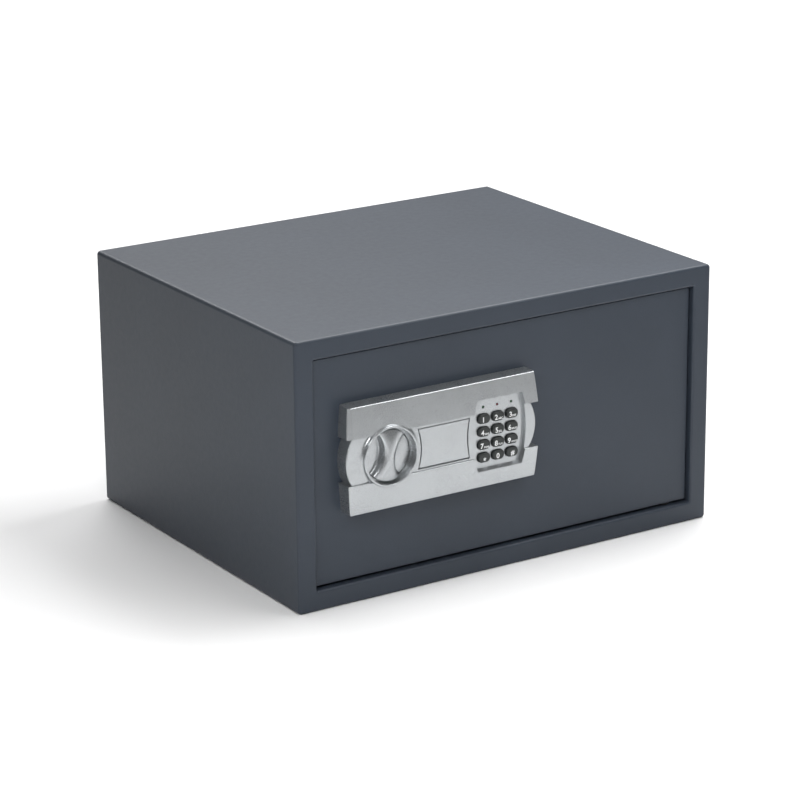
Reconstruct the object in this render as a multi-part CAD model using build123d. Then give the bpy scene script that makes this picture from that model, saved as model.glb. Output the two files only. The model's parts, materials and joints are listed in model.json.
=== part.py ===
from build123d import *
import math
import os

# ---------------------------------------------------------------------------
# In-room safe: folded steel cabinet, recessed hinged door, moulded lock
# escutcheon with a turn knob, a twelve-key pad and a motion-work tray behind.
# Millimetres.  x runs right, z up, and y here is the depth behind the face of
# the front flange; every piece is moved to the part frame when it is written,
# whose origin is the middle of the base face.
# ---------------------------------------------------------------------------

# cabinet
WIDTH = 450.0
DEPTH = 365.0
HEIGHT = 250.0
SHEET = 2.0             # wall thickness
FLANGE = 19.0           # width of the front flange
LIP = 22.0              # depth of the folded lip behind the flange face
BEND = 3.5              # outside bend radius of the long edges
OPEN_X = WIDTH / 2 - FLANGE          # 206, half width of the doorway
OPEN_Z0 = FLANGE                     # 19
OPEN_Z1 = HEIGHT - FLANGE            # 231
ANCHOR_X = 125.0        # half spacing of the anchor holes
ANCHOR_R = 5.25
BACK_ANCHOR_Z = 150.0

# door
DOOR_Y0 = 5.5           # recess of the door face
DOOR_T = 4.0
DOOR_Y1 = DOOR_Y0 + DOOR_T
DOOR_X = 204.5
DOOR_Z0 = 21.4
DOOR_Z1 = 229.5

# hinge
HINGE_X = 183.5
HINGE_Y = 13.5
PIN_R = 3.0

# lock tray
TRAY_X0, TRAY_X1 = -197.0, 66.0
TRAY_Z0, TRAY_Z1 = 70.0, 200.0
TRAY_T = 1.5
TRAY_Y0 = DOOR_Y1
TRAY_Y1 = 46.0
COVER_T = 1.2

# knob and cam
KNOB_X, KNOB_Z = -135.5, 134.3
KNOB_R = 23.5
KNOB_TILT = 9.0
GRIP_FRONT = -12.3
SPINDLE_R = 4.0
CRANK = 8.0             # crank pin offset each way, giving 16 mm of throw
THROW = 16.0

# bolts
BOLT_R = 8.0
BOLT_Y = 32.0
BOLT_ZS = (95.0, 175.0)
BOLT_TIP = -201.0

# key override lock
LOCK_X, LOCK_Z = -78.0, 134.0

# keypad
KEY_XS = (-34.2, -19.05, -3.95)
KEY_ZS = (148.8, 136.6, 124.4, 112.2)
KEY_W, KEY_H = 12.6, 8.9
KEY_FRONT = -8.5
KEY_TRAVEL = 1.0
LED_XS = (-34.1, -19.0, -3.8)
LED_Z = 159.4
LED_R = 1.3
PAD_FLOOR = -5.5        # face of the keypad recess
ESC_BACK = DOOR_Y0

# solenoid
SOL_X, SOL_Y = -74.0, 19.5
PLUNGER_R = 3.0

os.makedirs("parts", exist_ok=True)
written = []


def save(name, shape):
    export_step(Pos(0, -DEPTH / 2, 0) * shape, f"parts/{name}.step")
    written.append(name)


def box(x0, x1, y0, y1, z0, z1):
    return Pos((x0 + x1) / 2, (y0 + y1) / 2, (z0 + z1) / 2) * Box(x1 - x0, y1 - y0, z1 - z0)


def rod_y(x, z, r, y0, y1):
    return Pos(x, (y0 + y1) / 2, z) * Rot(90, 0, 0) * Cylinder(r, y1 - y0)


def rod_z(x, y, r, z0, z1):
    return Pos(x, y, (z0 + z1) / 2) * Cylinder(r, z1 - z0)


def rod_x(y, z, r, x0, x1):
    return Pos((x0 + x1) / 2, y, z) * Rot(0, 90, 0) * Cylinder(r, x1 - x0)


def front_plane(y):
    # local x = x, local y = z, normal towards the viewer
    return Plane(origin=(0, y, 0), x_dir=(1, 0, 0), z_dir=(0, -1, 0))


def plate(sketch, y0, y1, taper=0.0):
    return extrude(front_plane(y1) * sketch, amount=y1 - y0, taper=taper)


def hex_y(x, z, flats, y0, y1):
    return plate(Pos(x, z) * RegularPolygon(flats / math.sqrt(3), 6), y0, y1)


def group(*solids):
    return Compound(children=[s.solid() if hasattr(s, "solid") else s for s in solids])


def near(shape, axis, value, tol=0.05):
    return [e for e in shape.edges() if abs(getattr(e.center(), axis) - value) < tol]


# ------------------------------------------------------------------ cabinet
outer = box(-WIDTH / 2, WIDTH / 2, 0, DEPTH, 0, HEIGHT)
outer = fillet(outer.edges().filter_by(Axis.Y), BEND)
outer = fillet(outer.faces().sort_by(Axis.Y)[0].edges(), 2.6)
inner = box(-WIDTH / 2 + SHEET, WIDTH / 2 - SHEET, SHEET, DEPTH + 1, SHEET, HEIGHT - SHEET)
inner = fillet(inner.edges().filter_by(Axis.Y), BEND - SHEET)
doorway = box(-OPEN_X, OPEN_X, -1, LIP + 1, OPEN_Z0, OPEN_Z1)
doorway = fillet(doorway.edges().filter_by(Axis.Y), 1.2)
lip_out = box(-OPEN_X - SHEET, OPEN_X + SHEET, SHEET, LIP, OPEN_Z0 - SHEET, OPEN_Z1 + SHEET)
lip_out = fillet(lip_out.edges().filter_by(Axis.Y), 3.2)
shell = outer - inner + lip_out - doorway
rim = [e for e in shell.edges()
       if abs(e.center().Y) < 0.01 and abs(e.center().X) < OPEN_X + 0.1
       and OPEN_Z0 - 0.1 < e.center().Z < OPEN_Z1 + 0.1]
shell = fillet(rim, 2.4)
for sx in (-1, 1):
    shell -= rod_z(sx * ANCHOR_X, DEPTH / 2, ANCHOR_R, -1, SHEET + 1)
shell -= rod_z(HINGE_X, HINGE_Y, 4.5, OPEN_Z1 - 1, OPEN_Z1 + SHEET + 1)
shell -= rod_z(HINGE_X, HINGE_Y, 4.5, OPEN_Z0 - SHEET - 1, OPEN_Z0 + 1)
save("body_shell", shell)

back = box(-WIDTH / 2 + SHEET, WIDTH / 2 - SHEET, DEPTH - SHEET, DEPTH, SHEET, HEIGHT - SHEET)
back = fillet(back.edges().filter_by(Axis.Y), BEND - SHEET)
back = chamfer(back.faces().sort_by(Axis.Y)[-1].edges(), 0.7)
for sx in (-1, 1):
    back -= rod_y(sx * ANCHOR_X, BACK_ANCHOR_Z, ANCHOR_R, DEPTH - 5, DEPTH + 1)
save("back_panel", back)

mat = box(-217, 217, 26, DEPTH - 6, SHEET, SHEET + 2.5)
mat = fillet(mat.edges().filter_by(Axis.Z), 4)
for sx in (-1, 1):
    mat -= rod_z(sx * ANCHOR_X, DEPTH / 2, 12, 0, 10)
save("floor_mat", mat)

top_bush = rod_z(HINGE_X, HINGE_Y, 4.5, OPEN_Z1, OPEN_Z1 + SHEET) + \
    rod_z(HINGE_X, HINGE_Y, 6.5, OPEN_Z1 + SHEET, OPEN_Z1 + SHEET + 1.5)
top_bush -= rod_z(HINGE_X, HINGE_Y, PIN_R + 0.06, 200, 245)
low_bush = rod_z(HINGE_X, HINGE_Y, 4.5, OPEN_Z0 - SHEET, OPEN_Z0) + \
    rod_z(HINGE_X, HINGE_Y, 6.5, OPEN_Z0, DOOR_Z0 - 0.3)
low_bush -= rod_z(HINGE_X, HINGE_Y, PIN_R + 0.06, 0, 40)
save("hinge_bushes", group(top_bush, low_bush))

# --------------------------------------------------------------------- door
door = box(-DOOR_X, DOOR_X, DOOR_Y0, DOOR_Y1, DOOR_Z0, DOOR_Z1)
right_front = [e for e in door.edges().filter_by(Axis.Z)
               if e.center().X > 0 and e.center().Y < DOOR_Y0 + 0.1]
door = fillet(right_front, 1.0)
left_front = [e for e in door.edges()
              if e.center().Y < DOOR_Y0 + 0.05 and (e.center().X < 0 - 1 or abs(e.center().X) < 1)]
door = fillet(left_front, 0.7)
SCREW_AT = ((-166, 173.5), (13.2, 176), (-166, 95.5), (13.2, 94))
STUD_AT = ((-186, 79), (-186, 191.5), (57, 143), (57, 191.5))
GUIDE_AT = ((-120, 88), (-120, 182))
door -= rod_y(KNOB_X, KNOB_Z, 6.0, 0, 20)
door -= rod_y(LOCK_X, LOCK_Z, 8.1, 0, 20)
for sx, sz in SCREW_AT:
    door -= rod_y(sx, sz, 2.2, 0, 20)
door -= box(-26, -12, 0, 20, 127.5, 132.5)
save("door_panel", door)

blocks = []
for z0, z1 in ((DOOR_Z0 + 0.4, 52.0), (200.0, DOOR_Z1 - 0.3)):
    b = box(175, 193.5, DOOR_Y1, 21, z0, z1)
    b = fillet([e for e in b.edges().filter_by(Axis.Z) if e.center().Y > 20], 4)
    b -= rod_z(HINGE_X, HINGE_Y, PIN_R + 0.02, z0 - 1, z1 + 1)
    blocks.append(b)
save("hinge_blocks", group(*blocks))

pins = []
for z0, z1 in ((14.5, 47.0), (205.0, 236.5)):
    p = rod_z(HINGE_X, HINGE_Y, PIN_R, z0, z1)
    p = chamfer(p.edges(), 0.6)
    pins.append(p)
save("hinge_pins", group(*pins))

studs = [chamfer(rod_y(x, z, 2.5, TRAY_Y0, 22).faces().sort_by(Axis.Y)[-1].edges(), 0.5)
         for x, z in STUD_AT]
save("door_studs", group(*studs))

# lock tray: a five-sided folded pan, open to the rear
tray = box(TRAY_X0, TRAY_X1, TRAY_Y0, TRAY_Y1, TRAY_Z0, TRAY_Z1)
tray = fillet(tray.edges().filter_by(Axis.Y), 2.0)
tray -= fillet(box(TRAY_X0 + TRAY_T, TRAY_X1 - TRAY_T, TRAY_Y0 + TRAY_T, TRAY_Y1 + 1,
                   TRAY_Z0 + TRAY_T, TRAY_Z1 - TRAY_T).edges().filter_by(Axis.Y), 0.6)
for z in BOLT_ZS:
    tray -= rod_x(BOLT_Y, z, 9.6, TRAY_X0 - 1, TRAY_X0 + 5)
tray -= rod_y(KNOB_X, KNOB_Z, 6.0, 0, 20)
tray -= rod_y(LOCK_X, LOCK_Z, 8.1, 0, 20)
for x, z in STUD_AT:
    tray -= rod_y(x, z, 2.55, 0, 20)
for x, z in SCREW_AT:
    tray -= rod_y(x, z, 1.8, 0, 20)
tray -= box(-26, -12, 0, 20, 127.5, 132.5)
save("lock_chassis", tray)

posts = []
for x, z in STUD_AT:
    p = hex_y(x, z, 8.0, TRAY_Y0 + TRAY_T, TRAY_Y1)
    p -= rod_y(x, z, 2.52, 10, 23)
    p -= rod_y(x, z, 1.7, 36, 47)
    posts.append(p)
save("chassis_standoffs", group(*posts))

# rear lid of the tray, with the battery window and its two rails
BAT_X0, BAT_X1 = -10.0, 58.0
BAT_Z0, BAT_Z1 = 75.0, 135.0
lid_y1 = TRAY_Y1 + COVER_T
lid = box(TRAY_X0, TRAY_X1, TRAY_Y1, lid_y1, TRAY_Z0, TRAY_Z1)
lid = fillet(lid.edges().filter_by(Axis.Y), 2.0)
lid += box(TRAY_X0 + 8, TRAY_X1 - 8, 38, TRAY_Y1, TRAY_Z0 + 1.9, TRAY_Z0 + 3.1)
lid += box(TRAY_X0 + 8, TRAY_X1 - 8, 38, TRAY_Y1, TRAY_Z1 - 3.1, TRAY_Z1 - 1.9)
lid -= box(BAT_X0 + 4, BAT_X1 - 4, 45, 50, BAT_Z0 + 4, BAT_Z1 - 4)
for s, x in ((-1, BAT_X0 - 0.3), (1, BAT_X1 + 0.3)):
    lid += box(min(x, x + s * 2.2), max(x, x + s * 2.2), lid_y1, 51.1, BAT_Z0, BAT_Z1 + 2)
    lid += box(min(x - s * 1.9, x + s * 2.2), max(x - s * 1.9, x + s * 2.2), 49.9, 51.1, BAT_Z0, BAT_Z1 + 2)
lid += box(BAT_X0 - 2.5, BAT_X1 + 2.5, lid_y1, 51.1, BAT_Z1 + 0.3, BAT_Z1 + 2)
for x, z in STUD_AT:
    lid -= rod_y(x, z, 1.8, 44, 50)
RESET_X, RESET_Z = 36.0, 168.0
lid -= rod_y(RESET_X, RESET_Z, 3.8, 44, 50)
save("mechanism_cover", lid)

screws = []
for x, z in STUD_AT:
    s = rod_y(x, z, 3.2, lid_y1, lid_y1 + 2.2)
    s = fillet(s.faces().sort_by(Axis.Y)[-1].edges(), 0.8)
    s += rod_y(x, z, 1.6, 38, lid_y1 + 0.5)
    s -= plate(Pos(x, z) * (Rectangle(3.8, 0.8) + Rectangle(0.8, 3.8)), lid_y1 + 1.2, lid_y1 + 4)
    screws.append(s)
save("cover_screws", group(*screws))

guides = []
for x, z in GUIDE_AT:
    g = rod_y(x, z, 5.0, TRAY_Y0 + TRAY_T, 17.6) + rod_y(x, z, 3.0, 17.6, 21.5)
    h = rod_y(x, z, 5.3, 21.5, 24.0)
    g += fillet(h.faces().sort_by(Axis.Y)[-1].edges(), 0.8)
    guides.append(g)
save("guide_studs", group(*guides))

bushes = []
for z in BOLT_ZS:
    b = rod_x(BOLT_Y, z, 9.6, TRAY_X0, TRAY_X0 + 4.5) + rod_x(BOLT_Y, z, 12.0, TRAY_X0 + TRAY_T, TRAY_X0 + 3.5)
    b -= rod_x(BOLT_Y, z, BOLT_R + 0.08, TRAY_X0 - 1, TRAY_X0 + 6)
    bushes.append(b)
save("bolt_guides", group(*bushes))

# --------------------------------------------------------------- escutcheon
ESC_X0, ESC_X1 = -177.3, 19.5       # ends at the corners
ESC_M0, ESC_M1 = -179.9, 23.5       # ends at mid height
ESC_Z0, ESC_Z1 = 85.0, 185.3
BAND_Z0, BAND_Z1 = 113.5, 156.0     # the middle band
BAND_Y = -9.0
RING_IN = 25.8
mid_z = (ESC_Z0 + ESC_Z1) / 2


def outline(inset=0.0, corner=0.0):
    x0, x1, m0, m1 = ESC_X0 + inset, ESC_X1 - inset, ESC_M0 + inset, ESC_M1 - inset
    z0, z1 = ESC_Z0 + inset, ESC_Z1 - inset
    face = make_face([
        Line((x0, z1), (x1, z1)),
        ThreePointArc((x1, z1), (m1, mid_z), (x1, z0)),
        Line((x1, z0), (x0, z0)),
        ThreePointArc((x0, z0), (m0, mid_z), (x0, z1)),
    ])
    return fillet(face.vertices(), corner) if corner else face


def band_outline(inset=0.0):
    a = Pos(KNOB_X, KNOB_Z) * Circle(45.0 - inset)
    b = Pos(-17.0, 136.0) * Circle(38.0 - inset)
    c = Pos((KNOB_X - 17) / 2, mid_z) * Rectangle(-17 - KNOB_X, 76)
    clip = Pos(-80, (BAND_Z0 + BAND_Z1) / 2) * Rectangle(300, BAND_Z1 - BAND_Z0)
    return (a + b + c) & clip


def barrel(x_top0, x_mid0, x_bot0, x_top1, x_mid1, x_bot1, z_top, z_bot):
    return make_face([
        Line((x_top0, z_top), (x_top1, z_top)),
        ThreePointArc((x_top1, z_top), (x_mid1, (z_top + z_bot) / 2), (x_bot1, z_bot)),
        Line((x_bot1, z_bot), (x_bot0, z_bot)),
        ThreePointArc((x_bot0, z_bot), (x_mid0, (z_top + z_bot) / 2), (x_top0, z_top)),
    ])


def recess_floor(g=0.0):
    return barrel(-42.0 - g, -48.9 - g, -42.0 - g, 5.0 + g, 9.6 + g, 4.4 + g, 166.8 + g, 102.6 - g)


def recess_mouth():
    return barrel(-42.8, -49.4, -42.8, 5.4, 9.9, 4.8, 167.9, 100.5)


def cover_outline(grow=0.0):
    g = grow
    return make_face([
        Line((-105.5 - g, 153 + g), (-50.8 + g, 153 + g)),
        ThreePointArc((-50.8 + g, 153 + g), (-52.8 + g, 134.5), (-50.8 + g, 115.8 - g)),
        Line((-50.8 + g, 115.8 - g), (-105.5 - g, 115.8 - g)),
        ThreePointArc((-105.5 - g, 115.8 - g), (-102.3 - g, 134.5), (-105.5 - g, 153 + g)),
    ])


def soften(solid, edges, radii):
    # round each edge group by the first radius that leaves a sound solid
    for radius in radii:
        try:
            new = fillet(edges, radius)
            if new.is_valid and len(new.solids()) == 1 and new.volume > 0.9 * solid.volume:
                print("rounded", len(edges), "edges by", radius)
                return new
        except Exception:
            continue
    print("kept a sharp edge")
    return solid


side = Plane(origin=(-200, 0, 0), x_dir=(0, 1, 0), z_dir=(1, 0, 0))


def block(points, corner):
    bar = extrude(side * make_face([Polyline(*points, close=True)]), amount=240)
    return bar & plate(outline(), -20, ESC_BACK, taper=1.2) & plate(outline(0.01, corner), -21, ESC_BACK + 1)


# upper band: leans back, with a flat bevel down its left end
upper = block([(ESC_BACK, BAND_Z1), (-11.0, BAND_Z1), (-8.3, ESC_Z1 - 1.0), (ESC_BACK, ESC_Z1)], 1.6)
wedge = Plane(origin=(0, 0, BAND_Z1 - 1), x_dir=(1, 0, 0), z_dir=(0, 0, 1)) * make_face(
    [Polyline((-182, -14), (-182, -7.3), (-178.9, -8.9), (-174.0, -11.1), (-174.0, -14), close=True)])
upper -= extrude(wedge, amount=34, dir=(0, 2.7, 28.3))
front = [e for e in upper.edges() if e.center().Y < -7.6 and e.center().Z > BAND_Z1 + 0.5]
upper = soften(upper, front, (1.4, 1.2, 0.9, 0.6, 0.3))
# lower band: leans slightly forward at its top
lower = block([(ESC_BACK, ESC_Z0), (-9.7, ESC_Z0 + 0.8), (-11.0, BAND_Z0), (ESC_BACK, BAND_Z0)], 3.0)
front = [e for e in lower.edges() if e.center().Y < -8.8]
lower = soften(lower, front, (1.2, 0.9, 0.6, 0.3))
# middle band with its rounded ends
middle = plate(Pos(-80, (BAND_Z0 + BAND_Z1) / 2) * Rectangle(300, BAND_Z1 - BAND_Z0), BAND_Y, ESC_BACK) & \
    (plate(Pos(KNOB_X, KNOB_Z) * Circle(45.0), BAND_Y - 0.01, ESC_BACK + 0.01, taper=1.2) +
     plate(Pos(-17.0, 136.0) * Circle(38.0), BAND_Y - 0.01, ESC_BACK + 0.01, taper=1.2) +
     box(KNOB_X, -17, BAND_Y - 0.01, ESC_BACK + 0.01, 100, 170))
front = [e for e in middle.edges() if e.center().Y < BAND_Y + 0.05 and BAND_Z0 + 2 < e.center().Z < BAND_Z1 - 2]
middle = soften(middle, front, (1.0, 0.7, 0.4))
esc = upper + middle + lower
print("escutcheon blank", len(esc.solids()), esc.is_valid)
# hollow behind the face
hollow = plate(outline(2.2), -6.5, ESC_BACK + 1) - plate(
    Pos(-80, (BAND_Z0 + BAND_Z1) / 2) * Rectangle(300, BAND_Z1 - BAND_Z0 + 3.6), -8, ESC_BACK + 2)
hollow += plate(band_outline(2.2), -6.5, ESC_BACK + 1)
hollow += box(-160, 8, -6.5, ESC_BACK + 1, BAND_Z0 - 3, BAND_Z1 + 3)
esc -= hollow
# collar round the knob: a rounded rim with a flared foot, turned about the
# knob's axis
collar_face = make_face([
    Line((RING_IN - 0.6, ESC_BACK), (RING_IN - 0.6, -12.2)),
    Line((RING_IN - 0.6, -12.2), (RING_IN, -12.2)),
    ThreePointArc((RING_IN, -12.2), (RING_IN + 0.2, -12.75), (RING_IN + 0.75, -13.0)),
    Line((RING_IN + 0.75, -13.0), (27.3, -13.0)),
    ThreePointArc((27.3, -13.0), (27.95, -12.7), (28.2, -12.0)),
    ThreePointArc((28.2, -12.0), (28.95, -9.95), (31.2, -8.95)),
    Line((31.2, -8.95), (31.2, -6.0)),
    Line((31.2, -6.0), (27.8, -5.0)),
    Line((27.8, -5.0), (27.8, ESC_BACK)),
    Line((27.8, ESC_BACK), (RING_IN - 0.6, ESC_BACK)),
])
collar = Pos(KNOB_X, 0, KNOB_Z) * revolve(collar_face, Axis.Y, 360)
esc += collar
esc -= rod_y(KNOB_X, KNOB_Z, RING_IN, -30, ESC_BACK + 1)
# narrow ledge that closes the well round the knob's edge
esc += rod_y(KNOB_X, KNOB_Z, RING_IN + 0.4, -4.4, -2.6) - rod_y(KNOB_X, KNOB_Z, KNOB_R + 0.45, -5, -2)
# keypad recess with sloping walls
esc += plate(recess_floor(2.2), -6.6, -3.5)
mouth = loft([front_plane(PAD_FLOOR) * recess_floor(), front_plane(-10.3) * recess_mouth()], ruled=True)
mouth += plate(recess_mouth(), -20, -10.3)
esc -= mouth
# seat of the override cover, with the key aperture through it
esc += plate(cover_outline(2.4), -6.6, -4.6)
esc -= plate(Pos(-0.15, -0.15) * cover_outline(0.45), -20, -6.2)
esc -= fillet(box(LOCK_X - 17, LOCK_X + 17, -20, 0, LOCK_Z - 15, LOCK_Z + 15).edges().filter_by(Axis.Y), 3)
# key and lamp apertures


def oval(w, h):
    return RectangleRounded(w, h, min(h / 2 - 0.02, 4.1)) if w > h else Circle(w / 2)


for kx in KEY_XS:
    for kz in KEY_ZS:
        esc -= plate(Pos(kx, kz) * oval(KEY_W + 0.7, KEY_H + 0.7), -8, 0)
for lx in LED_XS:
    esc -= rod_y(lx, LED_Z, LED_R + 0.12, -8, 0)
# rib frame that carries the keypad board, and the four screw bosses
esc += box(-46.5, 8.0, -3.6, -0.4, 102.3, 157.4) - box(-43.6, 5.6, -4, 0, 104.4, 156.3)
for sx, sz in SCREW_AT:
    esc += rod_y(sx, sz, 3.2, -7.0, ESC_BACK)
    esc -= rod_y(sx, sz, 1.5, -4.0, ESC_BACK + 1)
save("escutcheon", esc)
print("escutcheon solids", len(esc.solids()), esc.is_valid)

escrews = []
for x, z in SCREW_AT:
    s = rod_y(x, z, 3.1, TRAY_Y0 + TRAY_T, TRAY_Y0 + TRAY_T + 2.2)
    s = fillet(s.faces().sort_by(Axis.Y)[-1].edges(), 0.9)
    s += rod_y(x, z, 1.5, -3.6, TRAY_Y0 + TRAY_T)
    s -= plate(Pos(x, z) * (Rectangle(3.6, 0.8) + Rectangle(0.8, 3.6)), TRAY_Y0 + TRAY_T + 1.2, 20)
    escrews.append(s)
save("escutcheon_screws", group(*escrews))

# ---------------------------------------------------------- key override
lockb = rod_y(LOCK_X, LOCK_Z, 10.0, 2.6, DOOR_Y0) + rod_y(LOCK_X, LOCK_Z, 8.0, DOOR_Y0, 22.0)
lockb -= rod_y(LOCK_X, LOCK_Z, 5.9, 2.0, 23.0)
save("override_lock_body", lockb)
locknut = hex_y(LOCK_X, LOCK_Z, 22.0, TRAY_Y0 + TRAY_T, 14.6) - rod_y(LOCK_X, LOCK_Z, 8.02, 9, 16)
save("override_lock_nut", locknut)
plug = rod_y(LOCK_X, LOCK_Z, 5.85, 3.2, 23.6)
plug -= box(LOCK_X - 0.9, LOCK_X + 0.9, 2, 16, LOCK_Z - 3.8, LOCK_Z + 3.8)
plug -= rod_y(LOCK_X, LOCK_Z, 1.3, 17, 24)
save("override_lock_plug", plug)
cam_arm = plate(Pos(LOCK_X, LOCK_Z) * Circle(7.5), 23.6, 25.6) + \
    plate(Pos(LOCK_X - 8.5, LOCK_Z) * Rectangle(17, 9), 23.6, 25.6) + \
    plate(Pos(LOCK_X - 16.9, LOCK_Z) * Circle(4.5), 23.6, 25.6)
cam_arm -= rod_y(LOCK_X, LOCK_Z, 1.3, 20, 30)
save("override_cam", cam_arm)
cs = rod_y(LOCK_X, LOCK_Z, 3.4, 25.6, 27.6)
cs = fillet(cs.faces().sort_by(Axis.Y)[-1].edges(), 0.8) + rod_y(LOCK_X, LOCK_Z, 1.28, 18, 25.6)
cs -= box(LOCK_X - 2.4, LOCK_X + 2.4, 26.8, 30, LOCK_Z - 0.4, LOCK_Z + 0.4)
save("override_cam_screw", cs)

cover = plate(cover_outline(-0.55), BAND_Y, -6.5)
cover = fillet([e for e in cover.edges() if abs(e.center().Y - BAND_Y) < 0.02], 0.5)
for sz in (-1, 1):
    z = LOCK_Z + sz * 13.0
    cover += box(LOCK_X - 8, LOCK_X + 8, -6.5, -2.6, z - 0.8, z + 0.8)
save("override_cover", cover)

# ----------------------------------------------------------------- keypad
save("keypad_membrane", fillet(box(-43.2, 5.2, -1.4, -0.4, 104.7, 156.0).edges().filter_by(Axis.Y), 1.5))
save("keypad_pcb", fillet(box(-46.2, 7.7, -0.4, 1.2, 102.6, 165.3).edges().filter_by(Axis.Y), 1.0))
cable = box(-25, -13, 1.2, 13.0, 129.6, 130.4) + box(-25, -13, 12.2, 13.0, 129.6, 150) + \
    box(-25, -13, 12.2, 14.0, 149.2, 150)
save("keypad_cable", cable)


def led(x):
    s = rod_y(x, LED_Z, LED_R, -5.2, -0.4)
    return s + Pos(x, -5.2, LED_Z) * Sphere(LED_R)


save("indicator_leds_green", group(led(LED_XS[0]), led(LED_XS[2])))
save("indicator_led_red", led(LED_XS[1]))

NAMES = (("1", "2", "3"), ("4", "5", "6"), ("7", "8", "9"), ("star", "0", "hash"))
for r, kz in enumerate(KEY_ZS):
    for c, kx in enumerate(KEY_XS):
        cap = plate(Pos(kx, kz) * oval(KEY_W, KEY_H), KEY_FRONT, -2.6)
        cap = fillet([e for e in cap.edges() if abs(e.center().Y - KEY_FRONT) < 0.02], 1.3)
        cap += plate(Pos(kx, kz) * RectangleRounded(14.2, 10.4, 4.4), -3.2, -2.6)
        save("key_" + NAMES[r][c], cap)

# ------------------------------------------------------------ electronics
pcb = fillet(box(-38, 50, 14, 15.6, 142, 195).edges().filter_by(Axis.Y), 1.5)
PCB_AT = ((-34, 146), (46, 146), (-34, 191), (46, 191))
for x, z in PCB_AT:
    pcb -= rod_y(x, z, 1.6, 10, 20)
save("control_pcb", pcb)
spac = []
for x, z in PCB_AT:
    spac.append(rod_y(x, z, 3.0, TRAY_Y0 + TRAY_T, 14) + rod_y(x, z, 1.55, 14, 15.6) +
                fillet(rod_y(x, z, 2.8, 15.6, 17.4).faces().sort_by(Axis.Y)[-1].edges(), 0.7))
save("pcb_spacers", group(*spac))
chips = [box(-8, 10, 15.6, 18.4, 160, 172), box(-24, -14, 15.6, 17.4, 165, 175),
         fillet(rod_y(18, 182, 4.0, 15.6, 27).faces().sort_by(Axis.Y)[-1].edges(), 0.8),
         fillet(rod_y(-26, 184, 3.2, 15.6, 24).faces().sort_by(Axis.Y)[-1].edges(), 0.6),
         box(-6, 12, 15.6, 22.6, 144, 150), box(-30, -20, 15.6, 23, 148, 154),
         box(4, 12, 15.6, 17.2, 186, 190),
         box(RESET_X - 6, RESET_X + 6, 15.6, 22, RESET_Z - 6, RESET_Z + 6) -
         rod_y(RESET_X, RESET_Z, 3.6, 17.5, 23)]
save("pcb_components", group(*chips))

button = rod_y(RESET_X, RESET_Z, 3.2, 20.5, 50.4)
button = fillet(button.faces().sort_by(Axis.Y)[-1].edges(), 0.9)
save("reset_button", button)

# battery box: open to the rear, four cells standing side by side
bb = box(BAT_X0 + 0.6, BAT_X1 - 0.6, 24.4, TRAY_Y1, BAT_Z0 + 0.6, BAT_Z1 - 0.6)
bb -= box(BAT_X0 + 2.2, BAT_X1 - 2.2, 26.0, TRAY_Y1 + 1, BAT_Z0 + 2.2, BAT_Z1 - 2.2)
bb += box(-2, 6, TRAY_Y0 + TRAY_T, 24.4, 80, 88) + box(42, 50, TRAY_Y0 + TRAY_T, 24.4, 80, 88) + \
    box(-2, 6, TRAY_Y0 + TRAY_T, 24.4, 118, 126) + box(42, 50, TRAY_Y0 + TRAY_T, 24.4, 118, 126)
save("battery_box", bb)
cells, contacts = [], []
for i in range(4):
    bx = 24.0 + (i - 1.5) * 15.6
    up = 1 if i % 2 == 0 else -1
    zc = (BAT_Z0 + BAT_Z1) / 2
    c = rod_z(bx, 33.6, 7.15, zc - 24.6, zc + 24.6)
    c = fillet(c.edges(), 0.8)
    c += rod_z(bx, 33.6, 2.7, min(zc, zc + up * 25.7), max(zc, zc + up * 25.7))
    cells.append(c)
    for z0, z1 in ((BAT_Z0 + 2.2, BAT_Z0 + 2.7), (BAT_Z1 - 2.7, BAT_Z1 - 2.2)):
        contacts.append(box(bx - 6, bx + 6, 27, 40, z0, z1))
save("batteries", group(*cells))
save("battery_contacts", group(*contacts))

bc = box(BAT_X0, BAT_X1, lid_y1 + 0.3, 49.6, BAT_Z0, BAT_Z1)
for i in range(5):
    z = BAT_Z0 + 6 + i * 2.6
    bc += box(14, 34, 49.5, 50.6, z, z + 1.2)
save("battery_cover", bc)

# --------------------------------------------------------------- solenoid
SOL_Z0, SOL_Z1 = 169.0, 197.0
sf = box(SOL_X - 11, SOL_X + 11, TRAY_Y0 + TRAY_T, 28, SOL_Z0, SOL_Z1)
sf -= box(SOL_X - 12, SOL_X + 12, TRAY_Y0 + TRAY_T + 1.6, 29, SOL_Z0 + 2, SOL_Z1 - 2)
sf -= rod_z(SOL_X, SOL_Y, PLUNGER_R + 0.4, SOL_Z0 - 2, SOL_Z1 + 2)
save("solenoid_frame", sf)
coil = fillet(rod_z(SOL_X, SOL_Y, 6.7, SOL_Z0 + 2, SOL_Z1 - 2).edges(), 0.5)
coil -= rod_z(SOL_X, SOL_Y, PLUNGER_R + 0.4, SOL_Z0, SOL_Z1)
save("solenoid_coil", coil)
COLLAR_Z = 162.4
pl = rod_z(SOL_X, SOL_Y, PLUNGER_R, 157.8, 193.5)
pl = fillet(pl.edges(), 0.6)
pl += rod_z(SOL_X, SOL_Y, 5.2, COLLAR_Z, COLLAR_Z + 1.2)
pl += rod_y(SOL_X, COLLAR_Z - 0.5, 1.1, SOL_Y, 28.0)
save("solenoid_plunger", pl)
# return spring between the collar and the frame
SPRING_R, SPRING_WIRE = 4.1, 0.3
coil_path = Pos(SOL_X, SOL_Y, COLLAR_Z + 1.55) * Helix(pitch=1.12, height=4.55, radius=SPRING_R)
spring = sweep(Plane(origin=coil_path @ 0, z_dir=coil_path % 0) * Circle(SPRING_WIRE), path=coil_path)
save("plunger_spring", spring)

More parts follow.
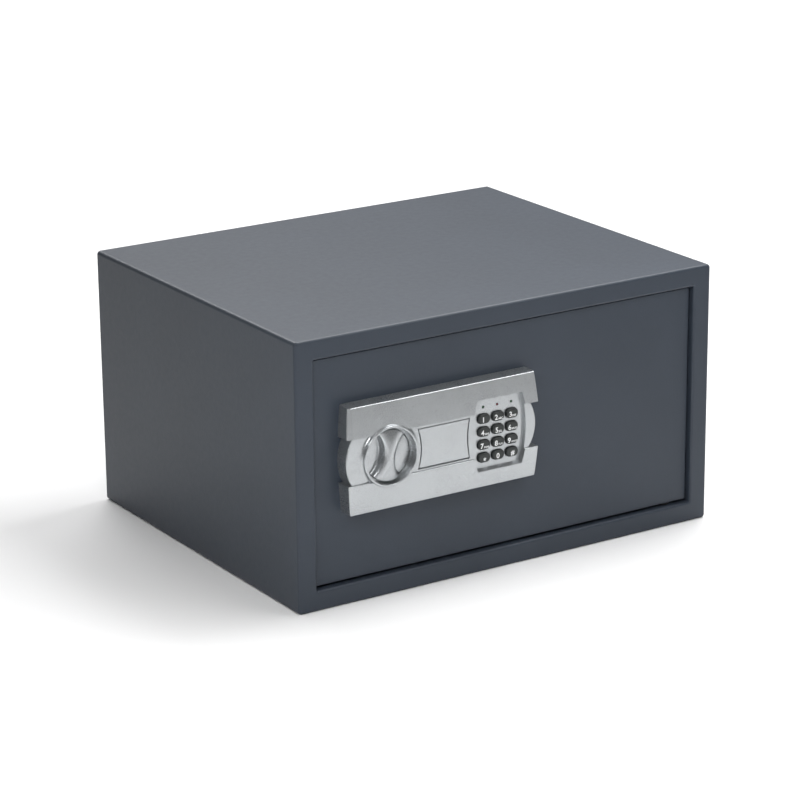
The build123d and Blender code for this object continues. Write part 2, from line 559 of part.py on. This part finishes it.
# ------------------------------------------------------- spindle, cam, knob
sb = rod_y(KNOB_X, KNOB_Z, 6.0, DOOR_Y0, 11.4) + rod_y(KNOB_X, KNOB_Z, 8.0, 4.0, DOOR_Y0)
sb -= rod_y(KNOB_X, KNOB_Z, SPINDLE_R + 0.06, 0, 20)
save("spindle_bush", sb)
spindle = rod_y(KNOB_X, KNOB_Z, SPINDLE_R, -2.5, 16.0)
spindle -= rod_y(KNOB_X, KNOB_Z, 1.5, 9, 17)
save("knob_spindle", spindle)
cam = rod_y(KNOB_X, KNOB_Z, 15.0, 12.0, 16.0)
cam = chamfer(cam.edges(), 0.4)
cam -= rod_y(KNOB_X, KNOB_Z, SPINDLE_R, 10, 17)
pin = rod_y(KNOB_X + CRANK, KNOB_Z - CRANK, 3.0, 15.0, 22.2)
cam += chamfer(pin.faces().sort_by(Axis.Y)[-1].edges(), 0.5)
save("drive_cam", cam)
csc = rod_y(KNOB_X, KNOB_Z, 5.6, 16.0, 17.4)
csc = fillet(csc.faces().sort_by(Axis.Y)[-1].edges(), 0.5) + rod_y(KNOB_X, KNOB_Z, 1.48, 10, 16)
csc -= box(KNOB_X - 3, KNOB_X + 3, 16.8, 18, KNOB_Z - 0.5, KNOB_Z + 0.5)
save("cam_screw", csc)

# knob: round base in the well with a waisted bar across it, leaning from
# upright, and a shallow scoop each side of the bar
base = rod_y(KNOB_X, KNOB_Z, KNOB_R, -5.0, 1.5)
base = fillet(base.faces().sort_by(Axis.Y)[0].edges(), 0.5)
WAIST_R = 29.0
waist = Pos(KNOB_X, KNOB_Z) * Rot(0, 0, -KNOB_TILT) * (
    Circle(KNOB_R - 0.1) - Pos(WAIST_R + 5.9, 0) * Circle(WAIST_R) - Pos(-WAIST_R - 5.9, 0) * Circle(WAIST_R))
bar_k = plate(waist, GRIP_FRONT, -4.0)
# the bar falls away towards its two ends
crown = Pos(KNOB_X, 0, KNOB_Z) * Rot(0, KNOB_TILT, 0) * Pos(0, GRIP_FRONT + 70.0, 0) * \
    Rot(0, 90, 0) * Cylinder(70.0, 60)
bar_k = bar_k & crown
knob = base + bar_k
for s in (-1, 1):
    scoop = Pos(KNOB_X, 0, KNOB_Z) * Rot(0, KNOB_TILT, 0) * Pos(s * 14.5, -17.2, 0) * Sphere(16.4)
    knob -= scoop & rod_y(KNOB_X, KNOB_Z, KNOB_R + 5, -20, 0) - plate(waist, -30, 5)
knob -= rod_y(KNOB_X, KNOB_Z, SPINDLE_R + 0.03, -2.5, 5)
save("knob", knob)
print("knob solids", len(knob.solids()), knob.is_valid)

# ------------------------------------------------------------------- bolts
car = box(-155, -92, 18, 21, 78, 192)
car += box(-155, -50, 18, 21, 145, 157)
car = fillet([e for e in car.edges().filter_by(Axis.Y) if e.center().X > -94], 2.5)
car += box(-155, -152, 18, 42, 78, 192)
car -= plate(Pos(KNOB_X + CRANK, KNOB_Z - 9.7) * RectangleRounded(7.2, 11.6, 3.5), 10, 30)
for gx, gz in GUIDE_AT:
    car -= plate(Pos(gx + THROW / 2, gz) * RectangleRounded(THROW + 6.6 + 1.2, 6.6, 3.2), 10, 30)
for nx in (SOL_X, SOL_X + THROW):
    car -= box(nx - 3.75, nx + 3.75, 10, 30, 150.5, 160)
for z in BOLT_ZS:
    car -= rod_x(BOLT_Y, z, 3.05, -160, -150)
save("bolt_carriage", car)
bolts = []
for z in BOLT_ZS:
    b = rod_x(BOLT_Y, z, BOLT_R, BOLT_TIP, -155)
    b = chamfer(b.faces().sort_by(Axis.X)[0].edges(), 1.5)
    b -= rod_x(BOLT_Y, z, 3.0, -170, -150)
    bolts.append(b)
save("locking_bolts", group(*bolts))
bs = []
for z in BOLT_ZS:
    s = rod_x(BOLT_Y, z, 5.0, -152, -148.6)
    s = fillet(s.faces().sort_by(Axis.X)[-1].edges(), 0.6) + rod_x(BOLT_Y, z, 2.98, -167, -152)
    s -= extrude(Plane(origin=(-150.6, BOLT_Y, z), z_dir=(1, 0, 0)) * RegularPolygon(2.4, 6), amount=4)
    bs.append(s)
save("bolt_screws", group(*bs))

print(len(written), "nodes")
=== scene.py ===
import json
import math
import bmesh
import bpy
import numpy as np
from mathutils import Matrix, Vector


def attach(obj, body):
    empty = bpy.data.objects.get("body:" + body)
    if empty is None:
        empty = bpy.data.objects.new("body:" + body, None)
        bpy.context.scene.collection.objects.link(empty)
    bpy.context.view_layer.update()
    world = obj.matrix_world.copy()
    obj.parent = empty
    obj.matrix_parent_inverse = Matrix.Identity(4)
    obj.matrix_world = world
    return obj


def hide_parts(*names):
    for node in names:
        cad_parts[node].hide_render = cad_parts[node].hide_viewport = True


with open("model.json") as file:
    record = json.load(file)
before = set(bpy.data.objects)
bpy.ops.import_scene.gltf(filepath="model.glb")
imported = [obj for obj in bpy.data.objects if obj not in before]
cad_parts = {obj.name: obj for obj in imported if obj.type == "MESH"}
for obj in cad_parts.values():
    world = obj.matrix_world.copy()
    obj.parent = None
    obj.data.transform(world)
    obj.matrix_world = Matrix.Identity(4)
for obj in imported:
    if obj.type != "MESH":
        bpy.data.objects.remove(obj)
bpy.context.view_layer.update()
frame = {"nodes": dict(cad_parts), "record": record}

NODES = frame["nodes"]
SLOT_OF = {s["node"]: s["material_slot"] for s in frame["record"]["subparts"]}
SC = bpy.context.scene
COL = SC.collection
YF = -0.1825                      # the front flange's face
MM = 0.001


def P(x, y, z):
    """Millimetres, y counted back from the flange's face, to metres in the row frame."""
    return Vector((x * MM, YF + y * MM, z * MM))


# ------------------------------------------------------------ node helpers
class Nodes:
    def __init__(self, name):
        self.mat = bpy.data.materials.new(name)
        self.mat.use_nodes = True
        self.t = self.mat.node_tree
        self.n = self.t.nodes
        self.n.clear()
        self.out = self.n.new("ShaderNodeOutputMaterial")
        self.bsdf = self.n.new("ShaderNodeBsdfPrincipled")
        self.link(self.bsdf.outputs[0], self.out.inputs["Surface"])
        self.geo = self.n.new("ShaderNodeTexCoord")
        self.co = self.geo.outputs["Object"]

    def link(self, a, b):
        self.t.links.new(a, b)

    def set(self, **kw):
        for k, v in kw.items():
            self.bsdf.inputs[k.replace("_", " ")].default_value = v

    def noise(self, scale, detail=3.0, rough=0.5, stretch=None, dist=0.0, co=None):
        n = self.n.new("ShaderNodeTexNoise")
        n.inputs["Scale"].default_value = scale
        n.inputs["Detail"].default_value = detail
        n.inputs["Roughness"].default_value = rough
        n.inputs["Distortion"].default_value = dist
        src = co or self.co
        if stretch:
            m = self.n.new("ShaderNodeMapping")
            m.inputs["Scale"].default_value = stretch
            self.link(src, m.inputs["Vector"])
            src = m.outputs[0]
        self.link(src, n.inputs["Vector"])
        return n.outputs["Fac"]

    def voronoi(self, scale, feature="F1", rand=1.0):
        n = self.n.new("ShaderNodeTexVoronoi")
        n.feature = feature
        n.inputs["Scale"].default_value = scale
        n.inputs["Randomness"].default_value = rand
        self.link(self.co, n.inputs["Vector"])
        return n.outputs["Distance"], n.outputs.get("Color")

    def ramp(self, fac, stops):
        n = self.n.new("ShaderNodeValToRGB")
        els = n.color_ramp.elements
        while len(els) < len(stops):
            els.new(0.5)
        for e, (p, c) in zip(els, stops):
            e.position = p
            e.color = c if len(c) == 4 else (*c, 1)
        self.link(fac, n.inputs["Fac"])
        return n.outputs["Color"]

    def mapr(self, fac, a, b, lo, hi):
        n = self.n.new("ShaderNodeMapRange")
        n.inputs["From Min"].default_value = a
        n.inputs["From Max"].default_value = b
        n.inputs["To Min"].default_value = lo
        n.inputs["To Max"].default_value = hi
        self.link(fac, n.inputs["Value"])
        return n.outputs[0]

    def math(self, op, a, b=None, clamp=False):
        n = self.n.new("ShaderNodeMath")
        n.operation = op
        n.use_clamp = clamp
        for i, v in enumerate((a, b)):
            if v is None:
                continue
            if isinstance(v, (int, float)):
                n.inputs[i].default_value = v
            else:
                self.link(v, n.inputs[i])
        return n.outputs[0]

    def mix(self, fac, a, b, mode="MIX"):
        n = self.n.new("ShaderNodeMix")
        n.data_type = "RGBA"
        n.blend_type = mode
        if isinstance(fac, (int, float)):
            n.inputs["Factor"].default_value = fac
        else:
            self.link(fac, n.inputs["Factor"])
        for key, v in (("A", a), ("B", b)):
            sock = [i for i in n.inputs if i.name == key and i.type == "RGBA"][0]
            if isinstance(v, (tuple, list)):
                sock.default_value = v if len(v) == 4 else (*v, 1)
            else:
                self.link(v, sock)
        return [o for o in n.outputs if o.type == "RGBA"][0]

    def bump(self, height, strength, distance, normal=None):
        n = self.n.new("ShaderNodeBump")
        n.inputs["Strength"].default_value = strength
        n.inputs["Distance"].default_value = distance
        self.link(height, n.inputs["Height"])
        if normal is not None:
            self.link(normal, n.inputs["Normal"])
        return n.outputs[0]

    def base(self, c):
        self.link(c, self.bsdf.inputs["Base Color"])

    def rough(self, r):
        self.link(r, self.bsdf.inputs["Roughness"])

    def normal(self, n):
        self.link(n, self.bsdf.inputs["Normal"])


def tone(c, k):
    return tuple(max(0.0, v * k) for v in c[:3])


def paint(name, colour, rough=0.42, peel=1.0, spec=0.5, vary=0.06, coat=0.0):
    """Satin powder coat: fine orange peel, a finer tooth, and slight tone drift."""
    m = Nodes(name)
    big = m.noise(9, 3, 0.55)
    mid = m.noise(160, 4, 0.6)
    fine = m.noise(1500, 2, 0.6)
    peel_n = m.noise(620, 2, 0.45)
    c1 = m.ramp(big, [(0.3, tone(colour, 1 - vary)), (0.7, tone(colour, 1 + vary))])
    c2 = m.mix(m.mapr(fine, 0.35, 0.7, 0.0, 0.10), c1, tone(colour, 1.9))
    m.base(c2)
    r = m.math("ADD", m.mapr(mid, 0.3, 0.7, rough - 0.025, rough + 0.03), m.mapr(fine, 0.3, 0.7, -0.02, 0.03))
    m.rough(r)
    b = m.bump(peel_n, 0.30 * peel, 0.00022)
    b = m.bump(fine, 0.22 * peel, 0.00008, b)
    m.normal(b)
    m.set(Specular_IOR_Level=spec, Coat_Weight=coat, Coat_Roughness=0.35)
    return m.mat


def lacquer(name, colour, rough=0.3, metal=0.9, flake=1.0):
    """Silver metallic lacquer on moulded plastic: flakes, faint flow, soft gloss."""
    m = Nodes(name)
    flow = m.noise(28, 3, 0.5)
    cell, ccol = m.voronoi(3800)
    fine = m.noise(2600, 2, 0.7)
    c1 = m.ramp(flow, [(0.3, tone(colour, 0.965)), (0.7, tone(colour, 1.03))])
    c2 = m.mix(m.mapr(fine, 0.4, 0.75, 0.0, 0.16 * flake), c1, tone(colour, 1.25))
    c3 = m.mix(m.mapr(cell, 0.0, 0.6, 0.10 * flake, 0.0), c2, tone(colour, 0.72))
    m.base(c3)
    m.rough(m.math("ADD", m.mapr(fine, 0.3, 0.7, rough - 0.03, rough + 0.035), m.mapr(flow, 0.3, 0.7, -0.012, 0.012)))
    b = m.bump(fine, 0.16 * flake, 0.00006)
    b = m.bump(m.noise(240, 2, 0.4), 0.10, 0.00012, b)
    m.normal(b)
    m.set(Metallic=metal, Specular_IOR_Level=0.5, Coat_Weight=0.25, Coat_Roughness=0.18)
    return m.mat


def plastic(name, colour, rough=0.45, grain=1.0, scale=1300, spec=0.45, coat=0.0, vary=0.05):
    m = Nodes(name)
    spark = m.noise(scale, 3, 0.6)
    drift = m.noise(60, 3, 0.5)
    c = m.ramp(drift, [(0.3, tone(colour, 1 - vary)), (0.7, tone(colour, 1 + vary))])
    c = m.mix(m.mapr(spark, 0.4, 0.75, 0, 0.12 * grain), c, tone(colour, 1.6))
    m.base(c)
    m.rough(m.mapr(spark, 0.3, 0.7, rough - 0.05, rough + 0.06))
    m.normal(m.bump(spark, 0.25 * grain, 0.0001))
    m.set(Specular_IOR_Level=spec, Coat_Weight=coat, Coat_Roughness=0.1)
    return m.mat


def metal(name, colour, rough=0.25, brush=(1, 1, 1), scale=900, strength=0.2, aniso=0.0):
    """Bare or plated steel and brass: drawn or turned lines, smudged roughness."""
    m = Nodes(name)
    lines = m.noise(scale, 4, 0.65, stretch=brush)
    blot = m.noise(55, 4, 0.55)
    c = m.ramp(blot, [(0.25, tone(colour, 0.88)), (0.75, tone(colour, 1.05))])
    c = m.mix(m.mapr(lines, 0.35, 0.7, 0, 0.18), c, tone(colour, 0.72))
    m.base(c)
    m.rough(m.math("ADD", m.mapr(lines, 0.3, 0.7, rough - 0.06, rough + 0.08), m.mapr(blot, 0.3, 0.7, -0.03, 0.05)))
    m.normal(m.bump(lines, strength, 0.00008))
    m.set(Metallic=1.0, Anisotropic=aniso)
    return m.mat


def felt(name, colour):
    m = Nodes(name)
    fibre = m.noise(900, 5, 0.75, stretch=(1, 0.35, 1), dist=1.5)
    nap = m.noise(35, 4, 0.6)
    tuft = m.noise(260, 3, 0.6)
    c = m.ramp(nap, [(0.3, tone(colour, 0.82)), (0.7, tone(colour, 1.22))])
    c = m.mix(m.mapr(fibre, 0.4, 0.7, 0, 0.5), c, tone(colour, 2.1))
    m.base(c)
    m.rough(m.mapr(fibre, 0.3, 0.7, 0.88, 1.0))
    m.normal(m.bump(tuft, 0.5, 0.0006, m.bump(fibre, 0.8, 0.0004)))
    m.set(Sheen_Weight=0.6, Sheen_Roughness=0.5, Specular_IOR_Level=0.15)
    return m.mat


def lens(name, colour, glow):
    m = Nodes(name)
    fine = m.noise(2500, 2, 0.5)
    body = m.noise(700, 3, 0.5)
    m.base(m.ramp(body, [(0.3, tone(colour, 0.7)), (0.7, tone(glow, 1.0))]))
    m.rough(m.mapr(fine, 0.3, 0.7, 0.12, 0.24))
    m.set(Specular_IOR_Level=0.6, Coat_Weight=0.4, Coat_Roughness=0.06)
    return m.mat


def board(name, colour):
    """Green solder mask with copper tracks showing through it as lighter lines."""
    m = Nodes(name)
    m1 = m.n.new("ShaderNodeTexBrick")
    m1.inputs["Scale"].default_value = 130
    m1.inputs["Mortar Size"].default_value = 0.12
    m1.inputs["Color1"].default_value = (*tone(colour, 0.85), 1)
    m1.inputs["Color2"].default_value = (*tone(colour, 1.0), 1)
    m1.inputs["Mortar"].default_value = (*tone(colour, 1.9), 1)
    mp = m.n.new("ShaderNodeMapping")
    mp.inputs["Rotation"].default_value = (math.radians(90), 0, 0)
    m.link(m.co, mp.inputs["Vector"])
    m.link(mp.outputs[0], m1.inputs["Vector"])
    fine = m.noise(1800, 2, 0.5)
    m.base(m.mix(m.mapr(fine, 0.4, 0.7, 0, 0.15), m1.outputs["Color"], tone(colour, 0.6)))
    m.rough(m.mapr(fine, 0.3, 0.7, 0.28, 0.42))
    m.normal(m.bump(m1.outputs["Fac"], 0.15, 0.00005))
    m.set(Specular_IOR_Level=0.5)
    return m.mat


MATS = {
    "powder_coat": paint("powder_coat", (0.0325, 0.0415, 0.0565), rough=0.42, spec=0.36),
    "dark_steel": paint("dark_steel", (0.030, 0.033, 0.038), rough=0.5, peel=1.4),
    "bright_steel": metal("bright_steel", (0.62, 0.62, 0.60), rough=0.22, brush=(1, 12, 12), scale=500),
    "zinc_steel": metal("zinc_steel", (0.60, 0.62, 0.64), rough=0.3, scale=700, strength=0.12),
    "silver_plastic": lacquer("silver_plastic", (0.405, 0.421, 0.432), rough=0.28, metal=0.84),
    "lock_chrome": metal("lock_chrome", (0.72, 0.72, 0.73), rough=0.12, brush=(1, 10, 1), scale=300, strength=0.06),
    "lock_brass": metal("lock_brass", (0.72, 0.55, 0.26), rough=0.28, brush=(12, 12, 1), scale=400),
    "nylon": plastic("nylon", (0.70, 0.69, 0.63), rough=0.5, grain=0.6),
    "felt": felt("felt", (0.020, 0.022, 0.026)),
    "grey_rubber": plastic("grey_rubber", (0.18, 0.18, 0.18), rough=0.7, grain=0.8),
    "key_rubber": plastic("key_rubber", (0.012, 0.015, 0.0145), rough=0.36, grain=0.8, scale=1700, spec=0.5),
    "circuit_board": board("circuit_board", (0.02, 0.13, 0.05)),
    "black_parts": plastic("black_parts", (0.018, 0.018, 0.02), rough=0.45, grain=0.9),
    "ribbon": plastic("ribbon", (0.5, 0.5, 0.49), rough=0.5, grain=0.6, scale=500),
    "lamp_green": lens("lamp_green", (0.010, 0.035, 0.016), (0.02, 0.075, 0.03)),
    "lamp_red": lens("lamp_red", (0.06, 0.006, 0.010), (0.14, 0.012, 0.02)),
    "coil_tape": plastic("coil_tape", (0.60, 0.42, 0.03), rough=0.3, grain=0.5, scale=300),
    "black_plastic": plastic("black_plastic", (0.022, 0.022, 0.024), rough=0.5, grain=1.4, scale=1100),
    "cell_wrap": plastic("cell_wrap", (0.06, 0.08, 0.26), rough=0.25, grain=0.4, scale=200, coat=0.3),
    "red_plastic": plastic("red_plastic", (0.5, 0.015, 0.015), rough=0.3, grain=0.5),
}
for name, obj in NODES.items():
    mat = MATS[SLOT_OF[name]]
    if not obj.data.materials:
        obj.data.materials.append(mat)
    for i in range(len(obj.data.materials)):
        obj.data.materials[i] = mat


def piece(name, verts, faces, body, slot, smooth=True):
    me = bpy.data.meshes.new(name)
    me.from_pydata([tuple(v) for v in verts], [], [tuple(f) for f in faces])
    me.validate()
    me.update()
    ob = bpy.data.objects.new(name, me)
    COL.objects.link(ob)
    me.materials.append(MATS[slot])
    if smooth:
        me.shade_smooth()
    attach(ob, body)
    return ob


# ------------------------------------------------------------------- knob
KX, KZ, KR = -135.5, 134.3, 23.5
TILT = math.radians(9.0)


def sstep(a, b, x):
    t = np.clip((x - a) / (b - a), 0, 1)
    return t * t * (3 - 2 * t)


def knob_height(u, v):
    """Height in mm in front of the flange face, over the knob's own axes."""
    r = np.sqrt(u * u + v * v)
    vv = np.clip(np.abs(v), 0, 27)
    w = 5.9 + (29.0 - np.sqrt(29.0 ** 2 - vv ** 2))
    au = np.abs(u)
    # the scoop: deepest at the foot of the bar, rolling out level at the rim
    away = np.maximum(au - w, 0)
    floor = 4.5 - 0.7 * np.exp(-(away / 5.0) ** 2)
    crest = 12.3 - 2.8 * (vv / KR) ** 2.4 - 2.7 * np.clip(au / w, 0, 1) ** 2.0
    k = 1 - sstep(-0.6, 3.0, au - w)
    h = floor + (crest - floor) * k
    e = np.clip(r - (KR - 0.7), 0, 0.7)
    return h - (0.7 - np.sqrt(np.maximum(0.49 - e * e, 0)))


def build_knob():
    seg, rings = 420, 110
    verts, faces = [], []
    verts.append((0.0, 0.0))
    radii = [KR * (i / rings) for i in range(1, rings + 1)]
    for r in radii:
        for s in range(seg):
            a = 2 * math.pi * s / seg
            verts.append((r * math.cos(a), r * math.sin(a)))
    uv = np.array(verts)
    h = knob_height(uv[:, 0], uv[:, 1])
    out = []
    ct, st = math.cos(TILT), math.sin(TILT)

    def put(u, v, y):
        # the bar's long axis leans to the right at the top
        return P(KX + u * ct + v * st, y, KZ - u * st + v * ct)
    for (u, v), hh in zip(verts, h):
        out.append(put(u, v, -float(hh)))
    for s in range(seg):
        faces.append((0, 1 + (s + 1) % seg, 1 + s))
    for i in range(rings - 1):
        a, b = 1 + i * seg, 1 + (i + 1) * seg
        for s in range(seg):
            n = (s + 1) % seg
            faces.append((a + s, a + n, b + n, b + s))
    # side wall and back
    last = 1 + (rings - 1) * seg
    rim_h = h[last:last + seg]
    prev = last
    for k in (0.33, 0.66, 1.0):
        cur = len(out)
        for s in range(seg):
            a = 2 * math.pi * s / seg
            y = -float(rim_h[s]) * (1 - k) + 1.5 * k
            out.append(put(KR * math.cos(a), KR * math.sin(a), y))
        for s in range(seg):
            n = (s + 1) % seg
            faces.append((prev + s, prev + n, cur + n, cur + s))
        prev = cur
    # back, with the spindle's socket left open down the middle
    cur = len(out)
    for s in range(seg):
        a = 2 * math.pi * s / seg
        out.append(put(4.0 * math.cos(a), 4.0 * math.sin(a), 1.5))
    for s in range(seg):
        n = (s + 1) % seg
        faces.append((prev + s, prev + n, cur + n, cur + s))
    prev = cur
    cur = len(out)
    for s in range(seg):
        a = 2 * math.pi * s / seg
        out.append(put(4.0 * math.cos(a), 4.0 * math.sin(a), -2.5))
    for s in range(seg):
        n = (s + 1) % seg
        faces.append((prev + s, prev + n, cur + n, cur + s))
    faces.append(tuple(cur + s for s in range(seg)))
    ob = piece("turn_knob", out, faces, "knob", "silver_plastic")
    bm = bmesh.new()
    bm.from_mesh(ob.data)
    bmesh.ops.recalc_face_normals(bm, faces=bm.faces)
    bm.to_mesh(ob.data)
    bm.free()
    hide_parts("knob")
    return ob


build_knob()

# the knob's collar, turned finely over the moulding's own: a rounded rim with
# a flared foot
def build_collar():
    prof = [(25.83, -7.0), (25.83, -12.0)]
    for i in range(9):
        a = math.pi / 2 * i / 8
        prof.append((26.53 - 0.70 * math.cos(a), -12.33 - 0.70 * math.sin(a)))
    for i in range(1, 11):
        a = math.pi / 2 * i / 10
        prof.append((27.22 + 1.02 * math.sin(a), -12.01 - 1.02 * math.cos(a)))
    for i in range(1, 13):
        a = math.pi / 2 * i / 12
        prof.append((31.24 - 3.0 * math.cos(a), -12.01 + 3.0 * math.sin(a)))
    prof.append((31.5, -8.98))
    seg = 300
    verts, faces = [], []
    for r, y in prof:
        for s in range(seg):
            a = 2 * math.pi * s / seg
            verts.append(P(KX + r * math.cos(a), y, KZ + r * math.sin(a)))
    for i in range(len(prof) - 1):
        for s in range(seg):
            n = (s + 1) % seg
            faces.append((i * seg + s, i * seg + n, (i + 1) * seg + n, (i + 1) * seg + s))
    return piece("knob_collar", verts, faces, "door", "silver_plastic")


build_collar()

# --------------------------------------------------------- key legends
KEY_XS = (-34.2, -19.05, -3.95)
KEY_ZS = (148.8, 136.6, 124.4, 112.2)
LEGENDS = [[("1", "", "1"), ("2", "ABC", "2"), ("3", "DEF", "3")],
           [("4", "GHI", "4"), ("5", "JKL", "5"), ("6", "MNO", "6")],
           [("7", "PQRS", "7"), ("8", "TUV", "8"), ("9", "WXYZ", "9")],
           [("*", "", "star"), ("0", "", "0"), ("#", "", "hash")]]


def ink(name):
    m = Nodes(name)
    f = m.noise(2400, 3, 0.6)
    m.base(m.ramp(f, [(0.25, (0.66, 0.68, 0.68)), (0.7, (0.82, 0.83, 0.83))]))
    m.rough(m.mapr(f, 0.3, 0.7, 0.42, 0.58))
    m.normal(m.bump(f, 0.2, 0.00003))
    return m.mat


INK = ink("legend_ink")


def text_points(body, size, bold):
    cu = bpy.data.curves.new("t", "FONT")
    cu.body = body
    cu.size = size
    cu.offset = bold
    cu.extrude = 0.035 * MM
    cu.resolution_u = 6
    cu.align_x = "LEFT"
    ob = bpy.data.objects.new("t", cu)
    COL.objects.link(ob)
    bpy.context.view_layer.update()
    me = bpy.data.meshes.new_from_object(ob.evaluated_get(bpy.context.evaluated_depsgraph_get()))
    bpy.data.objects.remove(ob)
    return me


def legend(kx, kz, big, small, key):
    parts = []
    me = text_points(big, 6.7 * MM if big not in "*#" else 6.4 * MM, 0.15 * MM)
    co = np.array([v.co for v in me.vertices])
    w = co[:, 0].max() - co[:, 0].min()
    shift = -co[:, 0].min()
    base = -2.75 * MM if big != "*" else -4.4 * MM
    total = w + (3.0 * MM if big == "1" else 1.8 * MM if big == "0" else 0)
    if small:
        sm = text_points(small, (2.55 if len(small) < 4 else 2.25) * MM, 0.07 * MM)
        sc = np.array([v.co for v in sm.vertices])
        sw = sc[:, 0].max() - sc[:, 0].min()
        total = w + 0.45 * MM + sw
        parts.append((sm, -total / 2 + w + 0.45 * MM - sc[:, 0].min(), base))
    parts.insert(0, (me, -total / 2 + shift, base))
    bm = bmesh.new()
    for m_, dx, dz in parts:
        tmp = bmesh.new()
        tmp.from_mesh(m_)
        for v in tmp.verts:
            x, z, d = v.co.x + dx, v.co.y + dz, v.co.z
            v.co = P(kx, -8.5, kz) + Vector((x, -d - 0.01 * MM, z))
        t2 = bpy.data.meshes.new("x")
        tmp.to_mesh(t2)
        tmp.free()
        bm.from_mesh(t2)
    bmesh.ops.remove_doubles(bm, verts=bm.verts, dist=1e-7)
    bmesh.ops.recalc_face_normals(bm, faces=bm.faces)
    me = bpy.data.meshes.new("legend_" + key)
    bm.to_mesh(me)
    bm.free()
    ob = bpy.data.objects.new("legend_" + key, me)
    COL.objects.link(ob)
    me.materials.append(INK)
    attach(ob, "key_" + key)


for r, kz in enumerate(KEY_ZS):
    for c, kx in enumerate(KEY_XS):
        b, s, k = LEGENDS[r][c]
        legend(kx, kz, b, s, k)

# ------------------------------------------------------------------ stage
fl = Nodes("studio_floor")
fn = fl.noise(3.0, 3, 0.5)
fl.base(fl.ramp(fn, [(0.3, (0.86, 0.86, 0.862)), (0.7, (0.88, 0.88, 0.882))]))
fl.rough(fl.mapr(fn, 0.3, 0.7, 0.75, 0.85))
me = bpy.data.meshes.new("studio_floor")
S = 14.0
me.from_pydata([(-S, -S, 0), (S, -S, 0), (S, S, 0), (-S, S, 0)], [], [(0, 1, 2, 3)])
floor = bpy.data.objects.new("studio_floor", me)
COL.objects.link(floor)
me.materials.append(fl.mat)

world = bpy.data.worlds.new("studio")
SC.world = world
world.use_nodes = True
wt = world.node_tree
wt.nodes.clear()
wo = wt.nodes.new("ShaderNodeOutputWorld")
bg = wt.nodes.new("ShaderNodeBackground")
tc = wt.nodes.new("ShaderNodeTexCoord")
sx = wt.nodes.new("ShaderNodeSeparateXYZ")
mr = wt.nodes.new("ShaderNodeMapRange")
mr.interpolation_type = "SMOOTHSTEP"
mr.inputs["From Min"].default_value = -0.5
mr.inputs["From Max"].default_value = 0.6
mr.inputs["To Min"].default_value = 0.1
mr.inputs["To Max"].default_value = 0.3
wt.links.new(tc.outputs["Generated"], sx.inputs[0])
wt.links.new(sx.outputs["Y"], mr.inputs["Value"])
wt.links.new(mr.outputs[0], bg.inputs["Strength"])
bg.inputs["Color"].default_value = (1, 1, 1, 1)
wt.links.new(bg.outputs[0], wo.inputs["Surface"])


def area(name, loc, target, size, power, colour=(1, 1, 1), size_y=None):
    li = bpy.data.lights.new(name, "AREA")
    li.energy = power
    li.color = colour
    li.shape = "RECTANGLE" if size_y else "SQUARE"
    li.size = size
    if size_y:
        li.size_y = size_y
    ob = bpy.data.objects.new(name, li)
    ob.location = loc
    ob.rotation_euler = (Vector(target) - Vector(loc)).to_track_quat("-Z", "Y").to_euler()
    COL.objects.link(ob)
    return ob


area("key_right", (0.62, 0.0, 1.30), (0.1, -0.1, 0.0), 0.75, 16)
area("key_left", (-0.50, -0.24, 1.20), (-0.1, -0.15, 0.15), 0.28, 1.1)
area("left_floor", (-0.48, -0.52, 0.46), (-0.48, -0.52, 0.0), 0.30, 2.4)
area("front_floor", (0.12, -0.47, 0.42), (0.12, -0.47, 0.0), 0.40, 1.3)
area("back_floor", (0.75, 2.4, 2.4), (1.3, 2.3, 0.0), 2.4, 112)

# ----------------------------------------------------------------- camera
az, el, roll = math.radians(-32.51), math.radians(17.96), math.radians(-0.525)
back = Vector((math.sin(az) * math.cos(el), -math.cos(az) * math.cos(el), math.sin(el)))
fwd = -back
right = fwd.cross(Vector((0, 0, 1))).normalized()
up = right.cross(fwd)
r2 = math.cos(roll) * right + math.sin(roll) * up
u2 = -math.sin(roll) * right + math.cos(roll) * up
cam = bpy.data.cameras.new("camera")
cam.sensor_width = 36.0
cam.lens = 3030.4 / 800 * 36.0
cam.clip_start = 0.05
cam.clip_end = 60
co = bpy.data.objects.new("camera", cam)
m = Matrix((r2, u2, back)).transposed().to_4x4()
m.translation = Vector((-1.4771, -2.1319 + YF, 0.9994))
co.matrix_world = m
COL.objects.link(co)
SC.camera = co
SC.view_settings.view_transform = "Standard"
SC.view_settings.look = "None"

bpy.context.view_layer.update()
